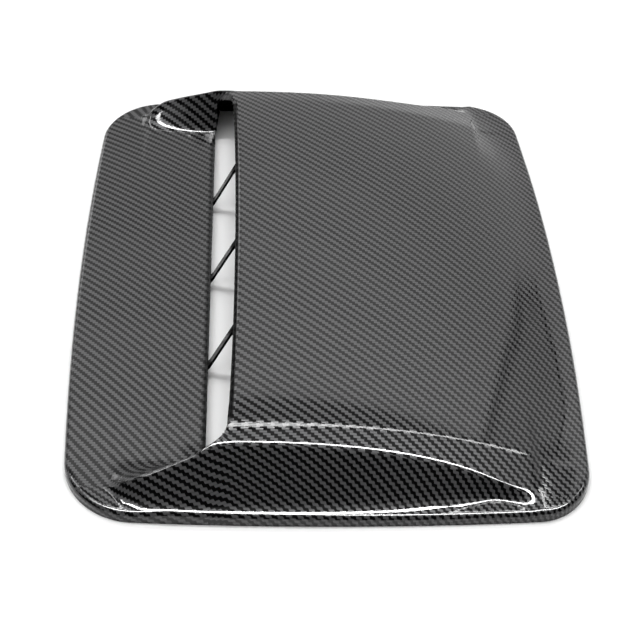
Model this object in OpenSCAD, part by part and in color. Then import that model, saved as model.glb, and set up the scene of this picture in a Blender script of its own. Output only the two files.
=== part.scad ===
// Bonnet scoop, one straight-pull moulding in a gloss weave-print finish.
// +X runs to the rear of the car, the intake faces -X, +Z is up, the rim sits at z = 0.
// The skin is one height surface; every size below feeds it.

/* [Plan outline] */
// overall length along the car, mm
body_l = 238; // [200:1:280]
// overall width across the car, mm
body_w = 340; // [310:1:380]
// radius of the two front plan corners, mm
corner_front = 33.3; // [26:0.1:44]
// radius of the two rear plan corners, mm
corner_rear = 27.8; // [22:0.1:38]
// how far the front edge bows forward of its ends, mm
bow_front = 5.6; // [0:0.1:9]
// how far the rear edge bows back of its ends, mm
bow_rear = 6.8; // [0:0.1:10]
// how far each side edge bows out, mm
bow_side = 4.8; // [0:0.1:7]

/* [Rim and ramp] */
// height of the ramp and of the flat flange, mm
ramp_h = 5; // [4.5:0.1:7]
// radius of the rounded top edge of the rim, mm
rim_r = 2.5; // [1.5:0.1:3]
// wall thickness of the moulding, mm
wall = 2; // [1.6:0.1:2.4]
// least width of the flat between the side wall and the rim, mm
rim_flat = 4; // [3:0.5:9]

/* [Scoop] */
// height of the intake lip at the middle of the car, mm
lip_h = 28.6; // [24:0.1:34]
// how much lower the lip stands where the top panel turns down, mm
lip_crown = 1.5; // [0:0.1:2.5]
// exponent of the crown across the top panel, larger keeps it flat for longer
crown_power = 4; // [2:0.5:6]
// height of the sharp side edge at the lip, mm
edge_h = 25.9; // [21:0.1:30]
// distance of the ramp edge ahead of the middle of the part, mm
ramp_edge = 54; // [46:0.5:62]
// plan distance from the ramp edge back to the lip, mm
slot_gap = 12.6; // [11:0.1:17]
// how far the middle of the lip stands back of its ends, mm
lip_bow = 1.7; // [0:0.1:3]
// half width from the middle to the sharp side edge at the lip, mm
edge_y = 146.5; // [130:0.1:150]
// plan width of the bevel between the top panel and the side edge, mm
bevel_w = 10.9; // [8:0.1:16]
// distance from the rear edge to the end of the top panel, mm
rear_flange = 2.5; // [2:0.5:10]
// how much earlier the top panel ends at its corners, mm
rear_sweep = 13.5; // [6:0.2:24]
// exponent of the fall of the top panel, larger keeps it flat for longer
fall_power = 2.4; // [2:0.05:3.4]

/* [Side walls and cheeks] */
// plan width of the outer side wall at the lip, mm
wall_run = 19.4; // [14:0.2:21]
// exponent of the fall of the side edge, larger keeps it high for longer
edge_power = 2.3; // [1.8:0.05:2.8]
// distance from the end of the top panel to the end of the side edge, mm
edge_short = 25.2; // [22:0.2:36]
// rise of the cheek edge for each mm back from the front
cheek_rise = 0.36; // [0.3:0.005:0.4]
// how far the cheek edge flares out ahead of the lip, mm
cheek_flare = 9.4; // [4:0.2:10]
// flare of the cheek edge for each mm ahead of the lip
flare_rate = 0.24; // [0.16:0.01:0.32]
// plan width of the inner cheek wall at the ramp edge, mm
cheek_run = 12; // [9:0.5:16]
// how far the top of each cheek widens inward to meet the lip, mm
land_w = 9.8; // [4:0.2:12]
// how far the nose of each cheek curls inward at its front end, mm
nose_in = 5; // [0:0.5:8]

/* [Intake windows] */
// width of one vane, mm
vane_w = 4; // [3:0.1:8]
// depth of one vane below the sloping front, mm
vane_depth = 2.4; // [2:0.1:4]
// spacing of the vanes, mm
vane_pitch = 67.8; // [60:0.2:72]
// depth of the lip skin below the top of the lip, mm
lip_depth = 1.8; // [1.6:0.1:5]
// radius of the upper outer corners of the intake, mm
window_r = 3.4; // [2:0.5:6]
// how much lower the outer upper corners of the intake sit than its top, mm
end_drop = 4.4; // [2:0.1:8]
// radius of the small corners beside each vane, mm
vane_r = 1.2; // [0.6:0.1:1.5]
// rise of the intake's outer sides for each mm outward
window_lean = 1.95; // [1.5:0.05:3.2]
// gap kept between the intake and the foot of each cheek, mm
cheek_gap = 0.1; // [0:0.1:2]

/* [Hidden] */
half_l = body_l / 2;
half_w = body_w / 2;
// the interior grid stops this far inside the outline, loops follow the rim from there
ring = 6;
lip_x = slot_gap - ramp_edge;
end_l = half_l - rear_flange;
// reach of the blends, as a height difference, mm
blend_top = 0.35;
blend_edge = 2.2;
blend_foot = 5;
blend_inner = 4;
blend_rear = 4;
blend_front = 2;
// half width at which the top panel turns into the bevel
turn_y = edge_y - bevel_w;
// the cheek edges level off this far ahead of the lip
cheek_top_x = lip_x - 8.7;
cheek_lead = 3;
// the cheek dives and curls inward ahead of nose_x, over nose_l
nose_x = -80;
nose_l = 14;
nose_drop = 5;
// half width at the foot of the inner cheek wall, it opens toward the front
inner_y = edge_y + flare_rate * (ramp_edge + lip_x - cheek_lead) - cheek_run;
inner_open = 4.7;
inner_open_x = -62;
inner_open_l = 32;
// the side edge spreads toward the rear, by these amounts at spread_l behind the lip
spread_l = 100;
spread_even = 3.4;
spread_late = 1.75;
spread_most = 10.5;
// the top panel runs out this far below the flange, so that it dives in cleanly
dive = 0.6;
// the foot of the outer wall draws in toward the front and the rear
foot_front_x = -68;
foot_front_rate = 0.08;
foot_rear_x = -10;
foot_rear_rate = 0.055;
foot_rear_late = 7.8;
foot_rear_l = 90;
foot_least = 2.5;
land_lead = 4;
land_more = 0.4;
bow_start = 60;
// the window cutters end this far behind the lip
cut_past = 1.5;
// the front slope and the top panel meet this far behind the lip at the latest
lip_zone = 12;

function smin(a, b, k) = min(a, b) - pow(max(k - abs(a - b), 0), 2) / (4 * k);
function smax(a, b, k) = -smin(-a, -b, k);
function step3(t) = let (u = min(max(t, 0), 1)) u * u * (3 - 2 * u);
function range(a, b, n) = [for (i = [0 : n - 1]) a + (b - a) * i / n];

// half width and height of the sharp edge that runs along cheek and side wall
function nose(x) = pow(max(nose_x - x, 0) / nose_l, 2);
function edge_wide(x) = let (
    f = smin((lip_x - cheek_lead - x) * flare_rate, cheek_flare, 4),
    r = max((x - lip_x) / spread_l, 0))
    edge_y + smax(f, 0, 1.5) + smin(spread_even * r * r + spread_late * pow(r, 6), spread_most, 3)
    - nose_in * smin(nose(x), 1, 0.3);
function edge_fall(x) = pow(max(x - lip_x, 0) / (end_l - edge_short - lip_x), edge_power);
function edge_high(x) = smin(
    edge_h + cheek_rise * (x - cheek_top_x) - nose_drop * nose(x),
    edge_h - (edge_h - ramp_h) * edge_fall(x), 2);

// top panel: crowned across, falling to the rear flange
function rear_line(y) = end_l - rear_sweep * pow(y / edge_y, 3);
function lip_line(y) = lip_h - lip_crown * pow(abs(y) / turn_y, crown_power);
function top_z(x, y) = let (t = max(x - lip_x, 0) / (rear_line(y) - lip_x))
    lip_line(y) - (lip_line(y) - ramp_h + dive) * pow(t, fall_power);
// bevel: straight across from the top panel at turn_y to the sharp edge
function bevel_z(x, y) = let (e = edge_wide(x), h = edge_high(x))
    h + max(top_z(x, turn_y) - h, blend_top) / (e - turn_y) * (e - y);

// outer side wall, its foot runs out to the rim in the middle of the part
function foot_wide(x) = let (r = max(x - foot_rear_x, 0))
    smax(min(edge_y + wall_run, half_w - rim_flat) - foot_front_rate * pow(max(foot_front_x - x, 0), 1.5)
    - foot_rear_rate * r - foot_rear_late * pow(r / foot_rear_l, 4), edge_wide(x) + foot_least, 2);
function wall_z(x, y) = let (
    e = edge_wide(x), h = edge_high(x),
    m = max(h - ramp_h, blend_top) / max(foot_wide(x) - e, wall))
    h - m * (y - e);

// inner cheek wall and the sloping front of the intake
function inner_foot(x) = inner_y + inner_open * pow(max(inner_open_x - x, 0) / inner_open_l, 2);
function land(x) = let (t = min(max(x + ramp_edge + land_lead, 0) / (slot_gap + land_more), 1.1))
    land_w * (t + pow(t, 6)) / 2;
function cheek_z(x, y) = let (e = edge_wide(x) - land(x), h = edge_high(x))
    h - max(h - ramp_h, blend_top) / max(e - inner_foot(x), wall) * (e - y);
function lip_at(y) = lip_x - lip_bow * pow(y / turn_y, 2);
function front_z(x, y) = ramp_h
    + (x + ramp_edge) * (lip_h - blend_top - ramp_h) / (lip_at(y) + ramp_edge);

function body_z(x, y) = let (
    cap = smin(smin(top_z(x, y), bevel_z(x, y), blend_top), wall_z(x, y), blend_edge))
    x > lip_x + lip_zone ? cap :
    smin(cap, smax(front_z(x, y), cheek_z(x, y), blend_front), blend_edge);
function blend_at(x, y) =
    x > end_l - bow_start && y < turn_y ? blend_rear :
    y < edge_wide(x) && x < lip_x ? blend_inner : blend_foot;
function skin_z(x, y) = smax(ramp_h, body_z(x, abs(y)), blend_at(x, abs(y)));
// half width of the intake at the ramp edge
foot_y = inner_foot(-ramp_edge) - cheek_gap;
// vertical depth of the skin: the wall measured square to the slope, thinner along the vanes
function slope_len(x, y) = let (d = 0.3,
    gx = (skin_z(x + d, y) - skin_z(x - d, y)) / (2 * d),
    gy = (skin_z(x, y + d) - skin_z(x, y - d)) / (2 * d))
    sqrt(1 + gx * gx + gy * gy);
function depth_at(x, y) = min(wall * slope_len(x, y),
    x < lip_x && abs(y) < foot_y ? vane_depth : 2 * wall);
function inner_z(x, y) = skin_z(x, y) - depth_at(x, y);

// rounded rectangle with bowed edges: nominal grid point to plan point
function corner_r(x) = (x < 0 ? corner_front : corner_rear) - ring;
function rounded(x, y) = let (
    r = corner_r(x), a = half_l - ring - r, b = half_w - ring - r,
    u = (abs(x) - a) / r, v = (abs(y) - b) / r)
    u <= 0 || v <= 0 ? [x, y] :
    [sign(x) * (a + r * u * sqrt(1 - v * v / 2)), sign(y) * (b + r * v * sqrt(1 - u * u / 2))];
function bowed(p) = let (
    u = max(abs(p.x) - bow_start, 0) / (half_l - bow_start))
    [p.x - sign(p.x) * (p.x < 0 ? bow_front : bow_rear) * u * u * pow(p.y / half_w, 2),
     p.y * (1 - bow_side / half_w * pow(p.x / half_l, 2))];
// outward plan direction at a point of the grid border
function out_dir(p) = let (
    r = corner_r(p.x), u = abs(p.x) - (half_l - ring - r), v = abs(p.y) - (half_w - ring - r))
    u > 0 && v > 0 ? [sign(p.x) * u, sign(p.y) * v] / norm([u, v]) :
    u / r > v / r ? [sign(p.x), 0] : [0, sign(p.y)];

// grid lines, closer together where the skin turns
near_edge = 5;
grid_x = concat(
    range(ring - half_l, -ramp_edge - 4, 11),
    [-ramp_edge - 3, -ramp_edge],
    range(2.5 - ramp_edge, lip_x - 3, 4),
    range(lip_x - 3, lip_x + near_edge, 6),
    range(lip_x + near_edge, half_l - ring, 26),
    [half_l - ring]);
half_y = concat(
    range(0, turn_y - 3, 7), [turn_y - 3, turn_y],
    range(turn_y + 2, edge_y - near_edge + 1, 2),
    range(edge_y - near_edge + 1, edge_y + near_edge, 5),
    range(edge_y + near_edge, half_w - ring, 3), [half_w - ring]);
grid_y = concat([for (i = [len(half_y) - 1 : -1 : 1]) -half_y[i]], half_y);
nx = len(grid_x);
ny = len(grid_y);

// the columns near the sharp edge follow it
function follow(x, y) = let (
    a = abs(y), in = step3((a - turn_y) / bevel_w),
    out = 1 - step3((a - edge_y) / (half_w - ring - edge_y)))
    sign(y) * (a + (edge_wide(x) - edge_y) * min(in, out));
plan = [for (x = grid_x) [for (y = grid_y) rounded(x, follow(x, y))]];
// the border of the grid once round, as index pairs
loop = concat(
    [for (i = [0 : nx - 2]) [i, 0]], [for (j = [0 : ny - 2]) [nx - 1, j]],
    [for (i = [nx - 1 : -1 : 1]) [i, ny - 1]], [for (j = [ny - 1 : -1 : 1]) [0, j]]);
nl = len(loop);

// outer rim loops: [inset from the outline, drop below the skin]
rim_steps = 4;
outer_loops = concat([[(ring + rim_r) / 2, 0]],
    [for (k = [0 : rim_steps]) let (a = 90 * k / rim_steps)
        [rim_r - rim_r * sin(a), rim_r - rim_r * cos(a)]]);
function ring_point(q, inset) = let (p = plan[q.x][q.y]) bowed(p + out_dir(p) * (ring - inset));
function loop_outer(l) = [for (q = loop) let (p = ring_point(q, l[0]),
    s = ring_point(q, max(l[0], rim_r))) [p.x, p.y, skin_z(s.x, s.y) - l[1]]];
function loop_flat(inset, z) = [for (q = loop) let (p = ring_point(q, inset)) [p.x, p.y, z]];

outer_pts = concat(
    [for (row = plan) for (p = row) let (b = bowed(p)) [b.x, b.y, skin_z(b.x, b.y)]],
    [for (l = outer_loops) for (p = loop_outer(l)) p],
    loop_flat(0, 0));
inner_pts = concat(
    [for (row = plan) for (p = row) let (b = bowed(p)) [b.x, b.y, inner_z(b.x, b.y)]],
    [for (q = loop) let (p = ring_point(q, (ring + wall) / 2)) [p.x, p.y, inner_z(p.x, p.y)]],
    [for (q = loop) let (p = ring_point(q, wall), s = ring_point(q, rim_r))
        [p.x, p.y, inner_z(s.x, s.y)]],
    loop_flat(wall, 0));
n_grid = nx * ny;
n_outer = len(outer_pts);
// index of a point on ring k, ring 0 is the border of the grid
function ring_at(base, k, m) = k == 0 ? base + loop[m % nl].x * ny + loop[m % nl].y :
    base + n_grid + (k - 1) * nl + m % nl;
function quads(base, flip) = [for (i = [0 : nx - 2]) for (j = [0 : ny - 2]) let (
    a = base + i * ny + j, b = a + ny, c = b + 1, d = a + 1)
    each grid_y[j] < 0 != flip ? [flip ? [a, b, c] : [c, b, a], flip ? [a, c, d] : [d, c, a]]
        : [flip ? [a, b, d] : [d, b, a], flip ? [b, c, d] : [d, c, b]]];
function bands(base, count, flip) = [for (k = [0 : count - 1]) for (m = [0 : nl - 1]) let (
    a = ring_at(base, k, m), b = ring_at(base, k, m + 1),
    c = ring_at(base, k + 1, m + 1), d = ring_at(base, k + 1, m))
    each flip ? [[a, d, b], [b, d, c]] : [[a, b, d], [b, c, d]]];
n_rings = len(outer_loops) + 1;

module skin_shell() {
    polyhedron(concat(outer_pts, inner_pts), concat(
        quads(0, false), bands(0, n_rings, false),
        quads(n_outer, true), bands(n_outer, 3, true),
        [for (m = [0 : nl - 1]) let (
            a = ring_at(0, n_rings, m), b = ring_at(0, n_rings, m + 1),
            c = ring_at(n_outer, 3, m + 1), d = ring_at(n_outer, 3, m))
            each [[a, b, d], [b, c, d]]]), convexity = 8);
}

// outline of the whole intake, seen from the front; its top keeps lip_depth below the lip
win_low = -2 * wall;
win_end = lip_line(turn_y) - lip_depth;
win_foot = [foot_y, ramp_h];
win_corner = [foot_y + (win_end - end_drop - ramp_h) / window_lean, win_end - end_drop];
win_side = concat([[foot_y, win_low], win_foot, win_corner, [turn_y, win_end]],
    [for (i = [8 : -1 : 1]) [turn_y * i / 9, lip_line(turn_y * i / 9) - lip_depth]]);
module intake_outline() {
    offset(r = window_r) offset(delta = -window_r)
        polygon(concat(win_side, [for (i = [len(win_side) - 1 : -1 : 0]) [-win_side[i].x, win_side[i].y]]));
}

module windows_2d() {
    offset(r = vane_r, $fn = 16) offset(delta = -vane_r) difference() {
        intake_outline($fn = 32);
        for (k = [-1 : 1]) translate([k * vane_pitch - vane_w / 2, win_low - 1])
            square([vane_w, lip_h - win_low + 2]);
    }
}

// cut straight back from the ramp edge, so the vanes and the lip stay part of the skin
module window_cutters() {
    translate([-ramp_edge, 0, 0]) rotate([90, 0, 90])
        linear_extrude(slot_gap + cut_past) windows_2d();
}

// the skin is cut free from behind at both ends of the intake, so their edges stay thin
relief_from = 0.4;
relief_lean = 0.2;
relief_by = [3.4, -2];
relief_lap = [2, 0];
relief_foot = win_foot - [0, wall];
relief_top = win_corner - window_r * [0.4, 0.7];
module end_relief() {
    translate([relief_from - ramp_edge - relief_lean * ramp_h, 0, 0])
        multmatrix([[1, 0, relief_lean, 0], [0, 1, 0, 0], [0, 0, 1, 0], [0, 0, 0, 1]])
        rotate([90, 0, 90]) linear_extrude(slot_gap - relief_from) for (side = [-1, 1]) scale([side, 1])
            polygon([relief_foot - relief_lap, relief_foot, win_foot + relief_by,
                relief_top + relief_by, relief_top, relief_top - relief_lap]);
}

module scoop_shell() {
    color([0.08, 0.08, 0.085]) difference() {
        skin_shell();
        window_cutters();
        end_relief();
    }
}

scoop_shell();
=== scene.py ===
import math
import bmesh
import bpy
import numpy as np
from mathutils import Matrix, Vector


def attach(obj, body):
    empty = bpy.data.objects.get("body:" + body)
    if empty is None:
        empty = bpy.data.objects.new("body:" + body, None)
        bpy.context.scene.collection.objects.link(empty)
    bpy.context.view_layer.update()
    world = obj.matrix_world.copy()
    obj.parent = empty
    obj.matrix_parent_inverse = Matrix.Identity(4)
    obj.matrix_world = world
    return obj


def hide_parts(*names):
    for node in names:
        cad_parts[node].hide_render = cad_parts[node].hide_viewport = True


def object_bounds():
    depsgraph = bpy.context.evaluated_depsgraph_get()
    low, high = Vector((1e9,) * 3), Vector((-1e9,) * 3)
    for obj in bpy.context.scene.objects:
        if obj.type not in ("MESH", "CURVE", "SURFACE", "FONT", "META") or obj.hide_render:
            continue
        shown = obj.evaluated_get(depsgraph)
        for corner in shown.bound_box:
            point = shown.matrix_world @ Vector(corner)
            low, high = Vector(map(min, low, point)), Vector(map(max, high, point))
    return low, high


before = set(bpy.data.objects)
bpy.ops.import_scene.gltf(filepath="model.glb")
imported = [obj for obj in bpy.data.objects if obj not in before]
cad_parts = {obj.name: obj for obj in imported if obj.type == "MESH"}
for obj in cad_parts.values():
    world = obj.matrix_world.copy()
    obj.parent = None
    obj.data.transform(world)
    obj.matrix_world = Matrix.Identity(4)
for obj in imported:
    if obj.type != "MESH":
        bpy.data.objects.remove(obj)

CAD_BOX = [[float(c) for c in corner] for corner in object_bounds()]

# Bonnet scoop, one moulding with a gloss weave print. x runs back along the car, y across it and z up.
# Sizes are in mm. Those that the part's source has too keep its names, and its values unless a comment
# says otherwise.
MM = 0.001

# Plan outline, with the length, the width and the height of the lip taken from the frame
HALF_L, HALF_W, LIP_H = (round(c / MM, 1) for c in CAD_BOX[1])
CORNER_FRONT, CORNER_REAR = 33.3, 27.8
BOW_FRONT, BOW_REAR, BOW_SIDE, BOW_START = 5.6, 6.8, 4.8, 60.0

# Rim and ramp; the interior grid stops RING inside the outline, and loops follow the rim from there
RAMP_H, RIM_R, WALL, RIM_FLAT, RING = 5.0, 2.5, 2.0, 4.0, 6.0

# Lip, top panel and bevel
LIP_CROWN, CROWN_POWER, EDGE_H = 1.5, 4, 25.9
RAMP_EDGE, SLOT_GAP, LIP_BOW = 54.0, 12.6, 1.7
EDGE_Y, BEVEL_W = 146.5, 10.9
REAR_FLANGE, REAR_SWEEP, FALL_POWER, DIVE = 2.5, 13.5, 2.4, 0.6
LIP_X = SLOT_GAP - RAMP_EDGE
END_L = HALF_L - REAR_FLANGE
TURN_Y = EDGE_Y - BEVEL_W
LIP_ZONE = 12.0

# Side edge: it flares ahead of the lip, dives and curls in at the nose, and spreads toward the rear
EDGE_POWER, EDGE_SHORT = 2.3, 25.2
CHEEK_RISE, CHEEK_FLARE, FLARE_RATE = 0.36, 9.4, 0.24
CHEEK_TOP_X, CHEEK_LEAD = LIP_X - 8.7, 3.0
NOSE_X, NOSE_L, NOSE_DROP, NOSE_IN, NOSE_SOFT = -80.0, 14.0, 5.0, 5.0, 0.3
SPREAD_L, SPREAD_EVEN, SPREAD_LATE, SPREAD_MOST, SPREAD_SOFT = 100.0, 3.4, 1.75, 10.5, 3.0
FLARE_OUT_SOFT, FLARE_BACK_SOFT, EDGE_SOFT, FOOT_SOFT = 4.0, 1.5, 2.0, 2.0

# Outer side wall, whose foot draws in toward the front and the rear
WALL_RUN, FOOT_FRONT_X, FOOT_FRONT_RATE = 19.4, -68.0, 0.08
FOOT_REAR_X, FOOT_REAR_RATE, FOOT_REAR_LATE, FOOT_REAR_L, FOOT_LEAST = -10.0, 0.055, 7.8, 90.0, 2.5

# Inner cheek wall, which opens toward the front, and the land that meets the lip
CHEEK_RUN, LAND_W, LAND_LEAD, LAND_MORE, LAND_PAST = 12.0, 9.8, 4.0, 0.4, 1.1
INNER_Y = EDGE_Y + FLARE_RATE * (RAMP_EDGE + LIP_X - CHEEK_LEAD) - CHEEK_RUN
INNER_OPEN, INNER_OPEN_X, INNER_OPEN_L = 4.7, -62.0, 32.0

# Intake windows, vanes and the relief behind both ends of the intake
VANE_W, VANE_DEPTH, VANE_PITCH, VANE_R = 4.0, 2.4, 67.8, 1.2
LIP_DEPTH, WINDOW_R, END_DROP, WINDOW_LEAN, CHEEK_GAP, CUT_PAST = 1.8, 3.4, 4.4, 1.95, 0.1, 1.5
LOW_R, WINDOW_FOOT_R, END_R = 0.5, 2.0, 3.0
RELIEF_FROM, RELIEF_LEAN, RELIEF_WIDE, RELIEF_BACK, RELIEF_IN = 0.4, 0.2, 3.4, 2.0, (0.4, 0.7)

# Reach of the blends, as a height difference. The foot of the inner cheek wall is tighter here than in the
# part's source, and the front edge of the lip, from LIP_ROUND_OUT inward, is rounder.
BLEND_TOP, BLEND_EDGE, BLEND_FOOT, BLEND_INNER, BLEND_REAR, BLEND_FRONT = 0.35, 2.2, 5.0, 2.6, 4.0, 2.0
LIP_ROUND, LIP_ROUND_OUT, LIP_ROUND_SOFT = 3.8, TURN_Y - 6, 10.0


def smin(a, b, k):
    """The smaller of two heights, blended where they differ by less than k."""
    return np.minimum(a, b) - np.maximum(k - np.abs(a - b), 0) ** 2 / (4 * k)


def smax(a, b, k):
    """The larger of two heights, blended where they differ by less than k."""
    return -smin(-a, -b, k)


def step3(t):
    """Smooth step, 0 up to t = 0 and 1 from t = 1."""
    u = np.clip(t, 0, 1)
    return u * u * (3 - 2 * u)


def nose(x):
    """How far into the dive at the cheek's front end."""
    return (np.maximum(NOSE_X - x, 0) / NOSE_L) ** 2


def edge_wide(x):
    """Half width at the sharp edge that runs along cheek and side wall."""
    flare = smin((LIP_X - CHEEK_LEAD - x) * FLARE_RATE, CHEEK_FLARE, FLARE_OUT_SOFT)
    r = np.maximum((x - LIP_X) / SPREAD_L, 0)
    behind = smin(SPREAD_EVEN * r * r + SPREAD_LATE * r ** 6, SPREAD_MOST + 0 * x, SPREAD_SOFT)
    ahead = smax(flare, 0 * x, FLARE_BACK_SOFT)
    return EDGE_Y + ahead + behind - NOSE_IN * smin(nose(x), 1 + 0 * x, NOSE_SOFT)


def edge_high(x):
    """Height of the sharp edge."""
    fall = (np.maximum(x - LIP_X, 0) / (END_L - EDGE_SHORT - LIP_X)) ** EDGE_POWER
    return smin(EDGE_H + CHEEK_RISE * (x - CHEEK_TOP_X) - NOSE_DROP * nose(x),
                EDGE_H - (EDGE_H - RAMP_H) * fall, EDGE_SOFT)


def lip_line(y):
    """Height of the lip, lower toward its ends."""
    return LIP_H - LIP_CROWN * (y / TURN_Y) ** CROWN_POWER


def lip_at(y):
    """Where the lip stands along the car, farther back in the middle."""
    return LIP_X - LIP_BOW * (y / TURN_Y) ** 2


def top_z(x, y):
    """Top panel: crowned across, falling to the rear flange."""
    t = np.maximum(x - LIP_X, 0) / (END_L - REAR_SWEEP * (y / EDGE_Y) ** 3 - LIP_X)
    return lip_line(y) - (lip_line(y) - RAMP_H + DIVE) * t ** FALL_POWER


def bevel_z(x, y):
    """Bevel: straight across from the top panel to the sharp edge."""
    e, h = edge_wide(x), edge_high(x)
    return h + np.maximum(top_z(x, TURN_Y) - h, BLEND_TOP) / (e - TURN_Y) * (e - y)


def foot_wide(x):
    """Half width at the foot of the outer side wall."""
    r = np.maximum(x - FOOT_REAR_X, 0)
    front = FOOT_FRONT_RATE * np.maximum(FOOT_FRONT_X - x, 0) ** 1.5
    rear = FOOT_REAR_RATE * r + FOOT_REAR_LATE * (r / FOOT_REAR_L) ** 4
    foot = min(EDGE_Y + WALL_RUN, HALF_W - RIM_FLAT) - front - rear
    return smax(foot, edge_wide(x) + FOOT_LEAST, FOOT_SOFT)


def wall_z(x, y):
    """Outer side wall, from the sharp edge down to its foot."""
    e, h = edge_wide(x), edge_high(x)
    return h - np.maximum(h - RAMP_H, BLEND_TOP) / np.maximum(foot_wide(x) - e, WALL) * (y - e)


def inner_foot(x):
    """Half width at the foot of the inner cheek wall."""
    return INNER_Y + INNER_OPEN * (np.maximum(INNER_OPEN_X - x, 0) / INNER_OPEN_L) ** 2


def cheek_z(x, y):
    """Inner cheek wall, from the land down to its foot."""
    t = np.minimum(np.maximum(x + RAMP_EDGE + LAND_LEAD, 0) / (SLOT_GAP + LAND_MORE), LAND_PAST)
    c, h = edge_wide(x) - LAND_W * (t + t ** 6) / 2, edge_high(x)
    return h - np.maximum(h - RAMP_H, BLEND_TOP) / np.maximum(c - inner_foot(x), WALL) * (c - y)


def front_z(x, y):
    """Sloping front of the intake, from the ramp's edge up to the lip."""
    return RAMP_H + (x + RAMP_EDGE) * (LIP_H - BLEND_TOP - RAMP_H) / (lip_at(y) + RAMP_EDGE)


def skin_z(x, y):
    """Height of the outer face at x, y."""
    x = np.asarray(x, float)
    y = np.abs(np.asarray(y, float))
    cap = smin(smin(top_z(x, y), bevel_z(x, y), BLEND_TOP), wall_z(x, y), BLEND_EDGE)
    soft = BLEND_EDGE + (LIP_ROUND - BLEND_EDGE) * np.clip((LIP_ROUND_OUT - y) / LIP_ROUND_SOFT, 0, 1)
    ahead = smin(cap, smax(front_z(x, y), cheek_z(x, y), BLEND_FRONT), soft)
    body = np.where(x > LIP_X + LIP_ZONE, cap, ahead)
    blend = np.where((x > END_L - BOW_START) & (y < TURN_Y), BLEND_REAR,
                     np.where((y < edge_wide(x)) & (x < LIP_X), BLEND_INNER, BLEND_FOOT))
    return smax(RAMP_H + 0 * x, body, blend)


# Half width of the intake at the ramp's edge
FOOT_Y = float(inner_foot(np.float64(-RAMP_EDGE))) - CHEEK_GAP


def inner_z(x, y):
    """Height of the inner face: one wall below the outer one, square to the slope, less along the vanes."""
    d = 0.3
    gx = (skin_z(x + d, y) - skin_z(x - d, y)) / (2 * d)
    gy = (skin_z(x, y + d) - skin_z(x, y - d)) / (2 * d)
    most = np.where((x < LIP_X) & (np.abs(y) < FOOT_Y), VANE_DEPTH, 2 * WALL)
    return skin_z(x, y) - np.minimum(WALL * np.sqrt(1 + gx * gx + gy * gy), most)


def corner_r(x):
    """Radius of the plan's corners, at the border of the grid."""
    return np.where(x < 0, CORNER_FRONT, CORNER_REAR) - RING


def rounded(x, y):
    """The square grid's corners pulled in to the plan's round corners."""
    r = corner_r(x)
    a, b = HALF_L - RING - r, HALF_W - RING - r
    u, v = (np.abs(x) - a) / r, (np.abs(y) - b) / r
    inside = (u <= 0) | (v <= 0)
    u, v = np.clip(u, 0, 1), np.clip(v, 0, 1)
    px = np.where(inside, x, np.sign(x) * (a + r * u * np.sqrt(1 - v * v / 2)))
    py = np.where(inside, y, np.sign(y) * (b + r * v * np.sqrt(1 - u * u / 2)))
    return px, py


def bowed(x, y):
    """The plan's straight sides bowed out in their middle."""
    u = np.maximum(np.abs(x) - BOW_START, 0) / (HALF_L - BOW_START)
    bow = np.where(x < 0, BOW_FRONT, BOW_REAR)
    return (x - np.sign(x) * bow * u * u * (y / HALF_W) ** 2,
            y * (1 - BOW_SIDE / HALF_W * (x / HALF_L) ** 2))


def out_dir(x, y):
    """Direction in plan from the grid's border to the rim."""
    r = corner_r(x)
    u, v = np.abs(x) - (HALF_L - RING - r), np.abs(y) - (HALF_W - RING - r)
    both = (u > 0) & (v > 0)
    n = np.maximum(np.hypot(u, v), 1e-9)
    return (np.where(both, np.sign(x) * u / n, np.where(u > v, np.sign(x), 0.0)),
            np.where(both, np.sign(y) * v / n, np.where(u > v, 0.0, np.sign(y))))


def grid_lines(*runs):
    """Grid lines: (from, to, count) runs joined end to start."""
    out = []
    for a, b, n in runs:
        out += [a + (b - a) * i / n for i in range(n)]
    return np.array(out + [runs[-1][1]])


# Out to FLAT_Y the top panel is nearly level across.
FINE = 2
FLAT_Y = 112
GRID_X = grid_lines((RING - HALF_L, -RAMP_EDGE - 4, 18 * FINE), (-RAMP_EDGE - 4, -RAMP_EDGE, 2 * FINE),
                    (-RAMP_EDGE, LIP_X - 3, 5 * FINE), (LIP_X - 3, LIP_X + 5, 9 * FINE),
                    (LIP_X + 5, HALF_L - RING, 40 * FINE))
HALF_GRID_Y = grid_lines((0, FLAT_Y, 10 * FINE), (FLAT_Y, TURN_Y - 3, 9 * FINE),
                         (TURN_Y - 3, TURN_Y + 2, 4 * FINE),
                         (TURN_Y + 2, EDGE_Y - 4, 3 * FINE), (EDGE_Y - 4, EDGE_Y + 5, 9 * FINE),
                         (EDGE_Y + 5, HALF_W - RING, 7 * FINE))
GRID_Y = np.concatenate([-HALF_GRID_Y[:0:-1], HALF_GRID_Y])


def follow(x, y):
    """Grid lines near the side edge moved along with it."""
    a = np.abs(y)
    near = np.minimum(step3((a - TURN_Y) / BEVEL_W), 1 - step3((a - EDGE_Y) / (HALF_W - RING - EDGE_Y)))
    return np.sign(y) * (a + (edge_wide(x) - EDGE_Y) * near)


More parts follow.
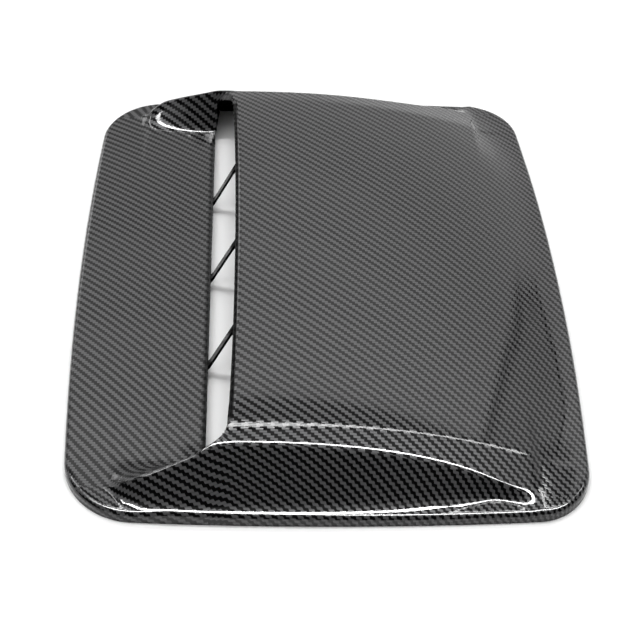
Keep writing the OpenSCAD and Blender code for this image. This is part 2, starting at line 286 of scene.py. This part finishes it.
# How the print lies on the skin. A twill has two families of stripes, and each has a phase, counted in
# repeats: a polynomial in x and y, in units of PRINT_UNIT. Each row belongs to one power of x, from 0 up,
# and holds the factors of y to the power 0, 1, 2 and so on. They are fitted to the photograph's stripes.
PRINT_UNIT = 100.0
RAMP_STRIPE = ((0.503, 18.692, 0.160, -0.306), (14.046, -0.113, -0.939), (-9.222, 0.853), (-4.303,))
RAMP_CROSS = ((0.883, 19.636, -1.914, 0.010), (-41.350, 0.053, 0.512), (10.034, 0.177), (1.606,))
TOP_STRIPE = ((1.698, 18.275, 0.419, 0.355, -0.014), (18.551, 0.186, -0.106, -0.051),
              (-1.062, -1.253, 0.397), (0.177, 0.274), (1.306,))
TOP_CROSS = ((-3.243, 20.116, 0.109, -0.243, -0.045), (-52.053, 0.573, 1.107, -1.120),
             (-2.546, -0.334, -0.632), (2.924, 1.026), (-0.887,))
# The print of the ramp goes over into that of the top within this distance
PRINT_JOIN = 12.0
# Down a side wall the phase goes on from the edge: by how much it jumps there and how much each mm adds,
# both over the powers of x, and how that grows further down
WALL_STRIPE = ((-0.2294, 1.704, 0.6673, 1.26, 0.3049), (-0.04516, 0.1288, -0.003048, -0.0814), -0.000125)
WALL_CROSS = ((-0.1151, -6.652, 2.348, -1.695, -1.971), (0.1693, -0.3247, -0.08172, 0.08296), 0.00075)

# Length along the skin from the middle out, on a table of ARC_DX by ARC_DY
ARC_DX, ARC_DY = 2.0, 0.5
ARC_X = np.arange(-HALF_L, HALF_L + 1, ARC_DX)
ARC_Y = np.arange(0, HALF_W + 1, ARC_DY)
ARC_SLOPE = np.gradient(skin_z(ARC_X[:, None] + 0 * ARC_Y, ARC_Y + 0 * ARC_X[:, None]), ARC_DY, axis=1)
ARC = np.cumsum(np.sqrt(1 + ARC_SLOPE ** 2), axis=1) * ARC_DY - ARC_DY


def arc(x, a):
    """Length along the skin from the middle out to a, across the car."""
    i = np.clip((x - ARC_X[0]) / ARC_DX, 0, len(ARC_X) - 1.001)
    j = np.clip(a / ARC_DY, 0, len(ARC_Y) - 1.001)
    i0, j0 = i.astype(int), j.astype(int)
    fi, fj = i - i0, j - j0
    return ((ARC[i0, j0] * (1 - fi) + ARC[i0 + 1, j0] * fi) * (1 - fj)
            + (ARC[i0, j0 + 1] * (1 - fi) + ARC[i0 + 1, j0 + 1] * fi) * fj + np.maximum(a - ARC_Y[-2], 0))


def polynomial(factors, t):
    """Factors of t to the power 0, 1, 2 and so on, summed."""
    return sum(k * t ** i for i, k in enumerate(factors))


def plane_phase(rows, x, y):
    """Phase at x, y on a flat stretch of the print."""
    return sum((x / PRINT_UNIT) ** i * polynomial(row, y / PRINT_UNIT) for i, row in enumerate(rows))


def stripe(ramp, top, wall, x, y, outside):
    """One stripe family's phase; outside is 1 on the side walls and 0 between the edges."""
    def flat(yy):
        w = step3((x + RAMP_EDGE) / PRINT_JOIN)
        return (1 - w) * plane_phase(ramp, x, yy) + w * plane_phase(top, x, yy)
    side = np.where(y < 0, -1.0, 1.0)
    e = edge_wide(x)
    down = arc(x, np.abs(y)) - arc(x, e)
    rate = (flat(side * (e + ARC_DY)) - flat(side * e)) / ARC_DY
    jump, more, growth = wall
    t = x / PRINT_UNIT
    on_wall = flat(side * e) + (rate + polynomial(more, t) + growth * down) * down + polynomial(jump, t)
    return np.where(outside > 0, on_wall, flat(side * arc(x, np.abs(y))))


def weave_uv(x, y, outside):
    """Weave repeats u and v along the two tow directions: the stripes count u + v, the cross ones v - 3 u."""
    a = stripe(RAMP_STRIPE, TOP_STRIPE, WALL_STRIPE, x, y, outside)
    b = stripe(RAMP_CROSS, TOP_CROSS, WALL_CROSS, x, y, outside)
    return (a - b) / 4, (3 * a + b) / 4


# Bands where the colour or the gloss change: from, to, width of the soft ends (mm) and strength. The first
# two darken the print, as painted shade on the lip's narrow front and the same way on the ramp's edge; the
# line lightens it just behind the lip, a painted highlight. These three count from the lip's or the ramp's
# edge, backward; the corners and the cheek, where only the gloss coat is lowered, are areas in x and y.
LIP_FACE_PAINTED_SHADE, RAMP_FACE = (-2.8, 1.3, 0.4, 0.95), (-2.4, 1.5, 0.8, 0.85)
LIP_PAINTED_HIGHLIGHT = (1.0, 2.0, 0.4, 0.4)
CORNER_ALONG, CORNER_ACROSS = (-RAMP_EDGE - 12, -RAMP_EDGE, 4, 0.7), (TURN_Y - 14, TURN_Y + 2, 4, 1)
CHEEK_ALONG, CHEEK_ACROSS = (-94, -52, 6, 0.5), (TURN_Y - 3, EDGE_Y + 1, 3, 1)
FACE_END, FACE_END_SOFT, FACE_MATT = TURN_Y - 2, 4, 0.9


def band(v, low, high, soft, strength):
    """Strength inside the band, 0 outside, with soft ends."""
    return strength * np.clip((v - low) / soft, 0, 1) * np.clip((high - v) / soft, 0, 1)


def print_with_painted_light(x, y):
    """Strength of print and gloss coat: both low on the lip's narrow front, painted shade there, and on the
    ramp's edge; the print raised in a painted highlight line just behind the lip.
    """
    a = np.abs(y)
    behind_lip = x - lip_at(y)
    middle = np.clip((FACE_END - a) / FACE_END_SOFT, 0, 1)
    # painted shade: the print darkened on the lip's narrow front; the ramp's edge is darkened the same way
    dark = np.maximum(band(behind_lip, *LIP_FACE_PAINTED_SHADE), band(x + RAMP_EDGE, *RAMP_FACE)) * middle
    # painted highlight: the print lightened along a line just behind the lip
    line = band(behind_lip, *LIP_PAINTED_HIGHLIGHT) * middle
    matt = np.maximum(band(x, *CORNER_ALONG) * band(a, *CORNER_ACROSS),
                      band(x, *CHEEK_ALONG) * band(a, *CHEEK_ACROSS))
    return (1 - dark) * (1 + line), 1 - np.maximum(FACE_MATT * dark, matt)


def rim_steps(inner):
    """Loops from the grid's border to the foot: (distance inside the outline, drop below the skin).

    A drop of None follows the skin, and the last loop stands on the floor."""
    if inner:
        return [((RING + WALL) / 2, None), (WALL, None), (WALL, 0.0)]
    turns = 4 * FINE
    angles = [math.pi / 2 * k / turns for k in range(turns + 1)]
    return ([((RING + RIM_R) * 0.7, None), ((RING + RIM_R) / 2, None)]
            + [(RIM_R - RIM_R * math.sin(t), -RIM_R * (1 - math.cos(t))) for t in angles] + [(0.0, 0.0)])


def face_mesh(height, inner):
    """One face of the moulding: a grid moved onto the height surface, its border extruded loop by loop.

    The weave lies on the plan, and runs on over the rim by the length travelled down it."""
    nx, ny = len(GRID_X), len(GRID_Y)
    gx, gy = np.meshgrid(GRID_X, GRID_Y, indexing="ij")
    rx, ry = rounded(gx, follow(gx, gy))
    px, py = bowed(rx, ry)
    pz = height(px, py)
    bm = bmesh.new()
    bmesh.ops.create_grid(bm, x_segments=nx - 1, y_segments=ny - 1, size=1.0)
    border = bm.verts.layers.float_vector.new("border")
    weave_at = bm.verts.layers.float_vector.new("weave")
    ink_and_painted_light = bm.verts.layers.float_vector.new("print")
    # print strength, with the painted shade on the lip's front and the painted highlight behind it, and gloss
    # coat; the inner face has neither print nor coat
    ink_and_painted_light_x, ink_y = (0 * px, 0 * px) if inner else print_with_painted_light(px, py)
    for vert in bm.verts:
        i = round((vert.co.x + 1) / 2 * (nx - 1))
        j = round((vert.co.y + 1) / 2 * (ny - 1))
        vert.co = (px[i, j] * MM, py[i, j] * MM, pz[i, j] * MM)
        vert[border] = (rx[i, j], ry[i, j], pz[i, j])
        vert[weave_at] = (px[i, j], py[i, j], 0)
        vert[ink_and_painted_light] = (ink_and_painted_light_x[i, j], ink_y[i, j], 0)
    edges = [e for e in bm.edges if e.is_boundary]
    steps = rim_steps(inner)
    travelled, last = 0.0, (RING, 0.0)
    for inset, drop in steps:
        out = bmesh.ops.extrude_edge_only(bm, edges=edges)["geom"]
        verts = [g for g in out if isinstance(g, bmesh.types.BMVert)]
        edges = [g for g in out if isinstance(g, bmesh.types.BMEdge) and g.is_boundary]
        at = np.array([tuple(vert[border]) for vert in verts])
        bx, by = at[:, 0], at[:, 1]
        dx, dy = out_dir(bx, by)
        qx, qy = bowed(bx + dx * (RING - inset), by + dy * (RING - inset))
        sx, sy = bowed(bx + dx * (RING - max(inset, RIM_R)), by + dy * (RING - max(inset, RIM_R)))
        at_foot = (inset, drop) == steps[-1]
        if drop is None:
            z = height(sx, sy)
        elif at_foot:
            z = np.zeros(len(verts))
        else:
            z = skin_z(sx, sy) + drop
        now = (inset, drop or 0.0)
        travelled += RAMP_H - RIM_R if at_foot else math.hypot(last[0] - now[0], last[1] - now[1])
        last = now
        for vert, x, y, h, ex, ey in zip(verts, qx, qy, z, dx, dy):
            vert.co = (x * MM, y * MM, h * MM)
            base = vert[weave_at]
            more = travelled - base[2]
            vert[weave_at] = (base[0] + ex * more, base[1] + ey * more, travelled)
    return bm


def shell_mesh():
    """Outer and inner face joined at the foot, with the print's two UV maps."""
    bm = face_mesh(skin_z, False)
    inner = face_mesh(inner_z, True)
    bmesh.ops.reverse_faces(inner, faces=inner.faces[:])
    inner_face = bpy.data.meshes.new("inner_face")
    inner.to_mesh(inner_face)
    inner.free()
    bm.from_mesh(inner_face)
    bpy.data.meshes.remove(inner_face)
    bmesh.ops.bridge_loops(bm, edges=[e for e in bm.edges if e.is_boundary])
    bm.loops.layers.uv.new("weave")
    # the print map holds the print strength, with the painted shade and highlight at the lip, and the gloss
    # coat
    shown = bm.loops.layers.uv.new("print")
    uv = bm.loops.layers.uv["weave"]
    weave_at = bm.verts.layers.float_vector["weave"]
    ink_and_painted_light = bm.verts.layers.float_vector["print"]
    loops = [loop for f in bm.faces for loop in f.loops]
    at = np.array([tuple(loop.vert[weave_at])[:2] for loop in loops])
    sizes = [len(f.loops) for f in bm.faces]
    ends = np.cumsum(sizes)
    mid = np.repeat([at[end - size:end].mean(axis=0) for end, size in zip(ends, sizes)], sizes, axis=0)
    outside = (np.abs(mid[:, 1]) > edge_wide(mid[:, 0])).astype(float)
    for loop, u, v in zip(loops, *weave_uv(at[:, 0], at[:, 1], outside)):
        loop[uv].uv = (u, v)
        loop[shown].uv = loop.vert[ink_and_painted_light].xy
    bmesh.ops.recalc_face_normals(bm, faces=bm.faces[:])
    return bm


def new_object(name, bm):
    """The bmesh as an object at the origin."""
    mesh = bpy.data.meshes.new(name)
    bm.to_mesh(mesh)
    bm.free()
    ob = bpy.data.objects.new(name, mesh)
    bpy.context.scene.collection.objects.link(ob)
    return ob


def prisms(name, faces, reach):
    """Closed prisms: each face is a list of points, drawn back along the car by reach."""
    bm = bmesh.new()
    for points in faces:
        face = bm.faces.new([bm.verts.new([c * MM for c in point]) for point in points])
        geo = bmesh.ops.extrude_face_region(bm, geom=[face])["geom"]
        bmesh.ops.translate(bm, vec=(reach * MM, 0, 0),
                            verts=[g for g in geo if isinstance(g, bmesh.types.BMVert)])
    bmesh.ops.recalc_face_normals(bm, faces=bm.faces[:])
    return new_object(name, bm)


def rounded_polygon(points, radii, n=8):
    """The polygon's corners replaced by arcs, one radius for each; a radius of 0 leaves the corner."""
    out = []
    for k, r in enumerate(radii):
        if r == 0:
            out.append(points[k])
            continue
        p, a, b = Vector(points[k]), Vector(points[k - 1]), Vector(points[(k + 1) % len(points)])
        da, db = (a - p).normalized(), (b - p).normalized()
        half = math.acos(max(-1, min(1, da.dot(db)))) / 2
        t = r / math.tan(half)
        c = p + (da + db).normalized() * (r / math.sin(half))
        s, e = p + da * t, p + db * t
        a0, a1 = math.atan2(s.y - c.y, s.x - c.x), math.atan2(e.y - c.y, e.x - c.x)
        d = (a1 - a0 + math.pi) % (2 * math.pi) - math.pi
        turns = [a0 + d * i / n for i in range(n + 1)]
        out += [(c.x + r * math.cos(turn), c.y + r * math.sin(turn)) for turn in turns]
    return out


def window_end():
    """Upper outer corner of the intake, across and up."""
    top = float(lip_line(TURN_Y)) - LIP_DEPTH - END_DROP
    return FOOT_Y + (top - RAMP_H) / WINDOW_LEAN, top


def window_cutters():
    """The four intake windows as prisms that run straight back from the ramp's edge."""
    def top_points(last, first):
        ys = [last + (first - last) * i / 4 for i in range(5)]
        return [(y, float(lip_line(y)) - LIP_DEPTH) for y in ys]
    low = -2 * WALL
    y0, y1, y2 = VANE_W / 2, VANE_PITCH - VANE_W / 2, VANE_PITCH + VANE_W / 2
    bays = (([(y0, low), (y1, low)] + top_points(y1, y0), [LOW_R, LOW_R, VANE_R, 0, 0, 0, VANE_R]),
            ([(y2, low), (FOOT_Y, low), (FOOT_Y, RAMP_H), window_end()] + top_points(TURN_Y, y2),
             [LOW_R, LOW_R, WINDOW_FOOT_R, WINDOW_R, END_R, 0, 0, 0, VANE_R]))
    faces = []
    for side in (1, -1):
        for points, radii in bays:
            ring = rounded_polygon([(side * y, z) for y, z in points], radii)
            faces.append([(-RAMP_EDGE, y, z) for y, z in ring])
    return prisms("window_cutters", faces, SLOT_GAP + CUT_PAST)


def relief_cutters():
    """The skin cut free from behind at both ends of the intake, so their edges stay thin."""
    end_y, end_z = window_end()
    end_y, end_z = end_y - RELIEF_IN[0] * WINDOW_R, end_z - RELIEF_IN[1] * WINDOW_R
    out = [(FOOT_Y - RELIEF_BACK, RAMP_H - WALL), (FOOT_Y, RAMP_H - WALL),
           (FOOT_Y + RELIEF_WIDE, RAMP_H - RELIEF_BACK), (end_y + RELIEF_WIDE, end_z - RELIEF_BACK),
           (end_y, end_z), (end_y - RELIEF_BACK, end_z)]
    start = RELIEF_FROM - RAMP_EDGE
    faces = [[(start + RELIEF_LEAN * (z - RAMP_H), side * y, z) for y, z in out] for side in (1, -1)]
    return prisms("relief_cutters", faces, SLOT_GAP - RELIEF_FROM)


# Edges that turn by more than this many degrees stay sharp
SHARP = 32


def build_shell():
    """The moulding, its windows cut and its faces smooth."""
    ob = new_object("scoop_skin", shell_mesh())
    solid = ob.data
    cutters = (window_cutters(), relief_cutters())
    for cut in cutters:
        mod = ob.modifiers.new(cut.name, "BOOLEAN")
        mod.operation = "DIFFERENCE"
        mod.solver = "MANIFOLD"
        mod.object = cut
    graph = bpy.context.evaluated_depsgraph_get()
    done = bpy.data.meshes.new_from_object(ob.evaluated_get(graph), preserve_all_data_layers=True,
                                           depsgraph=graph)
    ob.modifiers.clear()
    ob.data = done
    bpy.data.meshes.remove(solid)
    for cut in cutters:
        bpy.data.objects.remove(cut)
    for p in done.polygons:
        p.use_smooth = True
    done.set_sharp_from_angle(angle=math.radians(SHARP))
    return ob


def math_node(nt, op, *values):
    """A math node; each value is a number or a socket."""
    n = nt.nodes.new("ShaderNodeMath")
    n.operation = op
    for k, val in enumerate(values):
        if isinstance(val, (int, float)):
            n.inputs[k].default_value = val
        else:
            nt.links.new(val, n.inputs[k])
    return n.outputs[0]


def scaled(nt, colour, factor):
    """A colour times a factor, both sockets."""
    n = nt.nodes.new("ShaderNodeVectorMath")
    n.operation = "SCALE"
    nt.links.new(colour, n.inputs[0])
    nt.links.new(factor, n.inputs["Scale"])
    return n.outputs[0]


def empty_material(name):
    """A material with no nodes yet, and its node tree."""
    m = bpy.data.materials.new(name)
    m.use_nodes = True
    m.node_tree.nodes.clear()
    return m, m.node_tree


# A repeat of the weave holds this many tows each way; each passes over half of them, then under half
TOWS = 4.0
# How much darker a tow's sides are than its middle, how strong its fibre streaks, and the light tows' sheen
TOW_SHADE, STREAKS, SHEEN = 0.35, 0.5, 0.27


def twill_group():
    """Two-by-two twill: a mask of the tows that lie on top, and a soft shading across each tow."""
    g = bpy.data.node_groups.new("twill_weave", "ShaderNodeTree")
    for name, way, kind in (("Coordinate", "INPUT", "Vector"), ("Dark tow", "INPUT", "Color"),
                            ("Light tow", "INPUT", "Color"), ("Colour", "OUTPUT", "Color"),
                            ("Height", "OUTPUT", "Float"), ("Light mask", "OUTPUT", "Float")):
        g.interface.new_socket(name, in_out=way, socket_type="NodeSocket" + kind)
    gi, go = g.nodes.new("NodeGroupInput"), g.nodes.new("NodeGroupOutput")
    sep = g.nodes.new("ShaderNodeSeparateXYZ")
    g.links.new(gi.outputs["Coordinate"], sep.inputs[0])
    u = math_node(g, "MULTIPLY", sep.outputs["X"], TOWS)
    v = math_node(g, "MULTIPLY", sep.outputs["Y"], -TOWS)
    i, j = math_node(g, "FLOOR", u), math_node(g, "FLOOR", v)
    phase = math_node(g, "FLOORED_MODULO", math_node(g, "SUBTRACT", j, i), TOWS)
    over = math_node(g, "LESS_THAN", phase, TOWS / 2 - 0.5)
    fu, fv = math_node(g, "FRACT", u), math_node(g, "FRACT", v)
    across = math_node(g, "ADD", math_node(g, "MULTIPLY", over, fv),
                       math_node(g, "MULTIPLY", math_node(g, "SUBTRACT", 1.0, over), fu))
    rest = math_node(g, "SUBTRACT", 1.0, across)
    bulge = math_node(g, "MULTIPLY", math_node(g, "MULTIPLY", across, rest), 4.0)
    shade = math_node(g, "MULTIPLY_ADD", bulge, TOW_SHADE, 1 - TOW_SHADE)
    # fine fibre streaks, long in the tow's own direction and different in each tow
    fibre = g.nodes.new("ShaderNodeTexNoise")
    fibre.inputs["Scale"].default_value = 1.0
    fibre.inputs["Detail"].default_value = 1.0
    comb = g.nodes.new("ShaderNodeCombineXYZ")
    for axis, value, factor in (("X", across, 7.0), ("Y", i, 3.7), ("Z", j, 5.3)):
        g.links.new(math_node(g, "MULTIPLY", value, factor), comb.inputs[axis])
    g.links.new(comb.outputs[0], fibre.inputs["Vector"])
    streak = math_node(g, "MULTIPLY_ADD", fibre.outputs["Fac"], STREAKS, 1 - STREAKS / 2)
    mix = g.nodes.new("ShaderNodeMix")
    mix.data_type = "RGBA"
    g.links.new(over, mix.inputs["Factor"])
    g.links.new(gi.outputs["Dark tow"], mix.inputs["A"])
    g.links.new(gi.outputs["Light tow"], mix.inputs["B"])
    tone = math_node(g, "MULTIPLY", shade, streak)
    g.links.new(scaled(g, mix.outputs["Result"], tone), go.inputs["Colour"])
    height = math_node(g, "MULTIPLY_ADD", over, 0.5, math_node(g, "MULTIPLY", bulge, 0.5))
    g.links.new(height, go.inputs["Height"])
    g.links.new(math_node(g, "MULTIPLY", over, shade), go.inputs["Light mask"])
    return g


def weave_material(group):
    """Weave print under a clear gloss coat; the light tows have a dull sheen."""
    m, nt = empty_material("gloss_weave_print")
    out = nt.nodes.new("ShaderNodeOutputMaterial")
    shader = nt.nodes.new("ShaderNodeBsdfPrincipled")
    nt.links.new(shader.outputs[0], out.inputs[0])
    uv = nt.nodes.new("ShaderNodeUVMap")
    uv.uv_map = "weave"
    twill = nt.nodes.new("ShaderNodeGroup")
    twill.node_tree = group
    twill.inputs["Dark tow"].default_value = (0.0012, 0.0012, 0.0013, 1)
    twill.inputs["Light tow"].default_value = (0.072, 0.072, 0.0735, 1)
    nt.links.new(uv.outputs[0], twill.inputs["Coordinate"])
    ink_and_painted_light = nt.nodes.new("ShaderNodeUVMap")
    ink_and_painted_light.uv_map = "print"
    strength = nt.nodes.new("ShaderNodeSeparateXYZ")
    nt.links.new(ink_and_painted_light.outputs[0], strength.inputs[0])
    # the print strength scales the weave colour; it carries the painted shade on the lip's front and the
    # painted highlight behind it
    nt.links.new(scaled(nt, twill.outputs["Colour"], strength.outputs["X"]), shader.inputs["Base Color"])
    nt.links.new(math_node(nt, "MULTIPLY", twill.outputs["Light mask"], SHEEN), shader.inputs["Metallic"])
    nt.links.new(strength.outputs["Y"], shader.inputs["Coat Weight"])
    for socket, value in (("Roughness", 0.42), ("Specular IOR Level", 0.0), ("Coat Roughness", 0.04),
                          ("Coat IOR", 1.5)):
        shader.inputs[socket].default_value = value
    bump = nt.nodes.new("ShaderNodeBump")
    bump.inputs["Strength"].default_value = 0.09
    bump.inputs["Distance"].default_value = 0.00012
    nt.links.new(twill.outputs["Height"], bump.inputs["Height"])
    nt.links.new(bump.outputs[0], shader.inputs["Normal"])
    nt.links.new(bump.outputs[0], shader.inputs["Coat Normal"])
    return m


def floor_material():
    m, nt = empty_material("studio_floor")
    out = nt.nodes.new("ShaderNodeOutputMaterial")
    shader = nt.nodes.new("ShaderNodeBsdfDiffuse")
    shader.inputs["Color"].default_value = (0.95, 0.95, 0.95, 1)
    nt.links.new(shader.outputs[0], out.inputs[0])
    return m


# Studio, in m: half the floor's side, and how far off the panels stand
FLOOR_HALF, FAR, LESS_FAR = 6.0, 12.0, 11.0


def build_floor():
    bm = bmesh.new()
    bmesh.ops.create_grid(bm, x_segments=1, y_segments=1, size=FLOOR_HALF)
    floor = new_object("floor", bm)
    floor.data.materials.append(floor_material())
    return floor


def panel(name, low, high, left, right, radiance, mirrored=True, lights=True, far=FAR):
    """A lit panel far off: low and high are degrees up from the horizon behind the part, left and right
    degrees to the side. The gloss shows it as a band of one brightness, unless it isn't mirrored; with
    lights off it shows in the gloss only. Of two panels in one place the gloss shows the nearer one."""
    mid, half = math.radians((low + high) / 2), math.radians((high - low) / 2)
    x0, x1 = far * math.tan(math.radians(left)), far * math.tan(math.radians(right))
    data = bpy.data.lights.new(name, "AREA")
    data.shape = "RECTANGLE"
    data.size, data.size_y = x1 - x0, 2 * far * math.tan(half)
    data.energy = radiance * math.pi * data.size * data.size_y
    ob = bpy.data.objects.new(name, data)
    bpy.context.scene.collection.objects.link(ob)
    ob.location = ((x0 + x1) / 2, far * math.cos(mid), far * math.sin(mid))
    ob.rotation_euler = (mid - math.pi / 2, 0, 0)
    ob.visible_glossy, ob.visible_diffuse = mirrored, lights


# The backdrop in rows: lower, upper and right edge in degrees, then the radiance left and right of its middle
BACKDROP = ((1, 14, 28.5, 0.46, 0.95), (14, 20, 28.5, 0.46, 0.8), (20, 27, 28.5, 0.46, 0.72),
            (27, 32, 27.2, 0.51, 0.68), (32, 35, 26.6, 0.57, 0.78), (35, 38, 26.4, 0.72, 0.91),
            (38, 41, 26.2, 0.9, 1.03), (41, 44, 26.2, 1.07, 1.1), (44, 48.5, 26.2, 0.2, 0.22))
BACKDROP_LEFT, BACKDROP_MIDDLE = -60, -1
# Past a narrow dark gap a dimmer side backdrop goes on to the right
SIDE_GAP, SIDE_END, SIDE_SHARE, SIDE_MOST = 0.8, 62, 0.72, 0.9


def build_lamps():
    """The panels that the gloss coat mirrors, and a soft light from the front."""
    for low, high, edge, left_glow, right_glow in BACKDROP:
        panel("backdrop_left_%d" % low, low, high, BACKDROP_LEFT, BACKDROP_MIDDLE, left_glow)
        panel("backdrop_right_%d" % low, low, high, BACKDROP_MIDDLE, edge, right_glow)
        side_glow = SIDE_SHARE * min(right_glow, SIDE_MOST)
        panel("side_backdrop_%d" % low, low, high, edge + SIDE_GAP, SIDE_END, side_glow)
    panel("upper_strip", 49.4, 51.2, -35, 34, 15)
    panel("upper_fill", 53, 69, -35, 38, 0.5)
    panel("left_edge", 14, 31, -32, -17, 1.8, lights=False, far=LESS_FAR)
    panel("strip_lamp", 71.5, 79, -33, 22, 13.8)
    panel("strip_lamp_glow", 70.5, 80, -20, 34, 55, lights=False, far=LESS_FAR)
    panel("strip_lamp_left", 70.5, 80, -33, -20, 10, lights=False, far=LESS_FAR)
    panel("overhead_fill", 84, 110, -35, 35, 0.35)
    panel("front_soft", 100, 150, -40, 40, 1.42, mirrored=False)


# The world is white for the camera, and this dim for all other light
WORLD_DIM = 0.03


def build_world():
    """White for the camera, nearly dark for the rest."""
    world = bpy.data.worlds.new("studio_world")
    world.use_nodes = True
    nt = world.node_tree
    nt.nodes.clear()
    out = nt.nodes.new("ShaderNodeOutputWorld")
    background = nt.nodes.new("ShaderNodeBackground")
    background.inputs["Color"].default_value = (1, 1, 1, 1)
    path = nt.nodes.new("ShaderNodeLightPath")
    strength = math_node(nt, "MULTIPLY_ADD", path.outputs["Is Camera Ray"], 1 - WORLD_DIM, WORLD_DIM)
    nt.links.new(strength, background.inputs["Strength"])
    nt.links.new(background.outputs[0], out.inputs[0])
    return world


# The camera as fitted to the photograph: place in mm, angles in degrees, focal length in the photo's pixels
CAMERA_AT = (-36.23, -715.44, 532.83)
CAMERA_YAW, CAMERA_PITCH, CAMERA_ROLL = 2.963, 37.709, 2.083
FOCAL_PX, PHOTO_PX, SENSOR = 1793.9, 640, 36.0


def build_camera():
    """The photograph's camera."""
    yaw, pitch, roll = (math.radians(a) for a in (CAMERA_YAW, CAMERA_PITCH, CAMERA_ROLL))
    look = Vector((math.sin(yaw) * math.cos(pitch), math.cos(yaw) * math.cos(pitch), -math.sin(pitch)))
    level_right = Vector((math.cos(yaw), -math.sin(yaw), 0))
    level_up = level_right.cross(look)
    right = level_right * math.cos(roll) + level_up * math.sin(roll)
    up = level_up * math.cos(roll) - level_right * math.sin(roll)
    data = bpy.data.cameras.new("camera")
    data.sensor_fit = "HORIZONTAL"
    data.sensor_width = SENSOR
    data.lens = SENSOR * FOCAL_PX / PHOTO_PX
    data.clip_start, data.clip_end = 0.01, 50
    camera = bpy.data.objects.new("camera", data)
    bpy.context.scene.collection.objects.link(camera)
    place = Matrix((right, up, -look)).transposed().to_4x4()
    place.translation = Vector(CAMERA_AT) * MM
    camera.matrix_world = place
    return camera


# The object
shell = build_shell()
shell.data.materials.clear()
shell.data.materials.append(weave_material(twill_group()))
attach(shell, "root")
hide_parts("scoop_shell")

# The studio
build_floor()
build_lamps()
bpy.context.scene.world = build_world()
bpy.context.scene.camera = build_camera()
bpy.context.scene.view_settings.view_transform = "Standard"
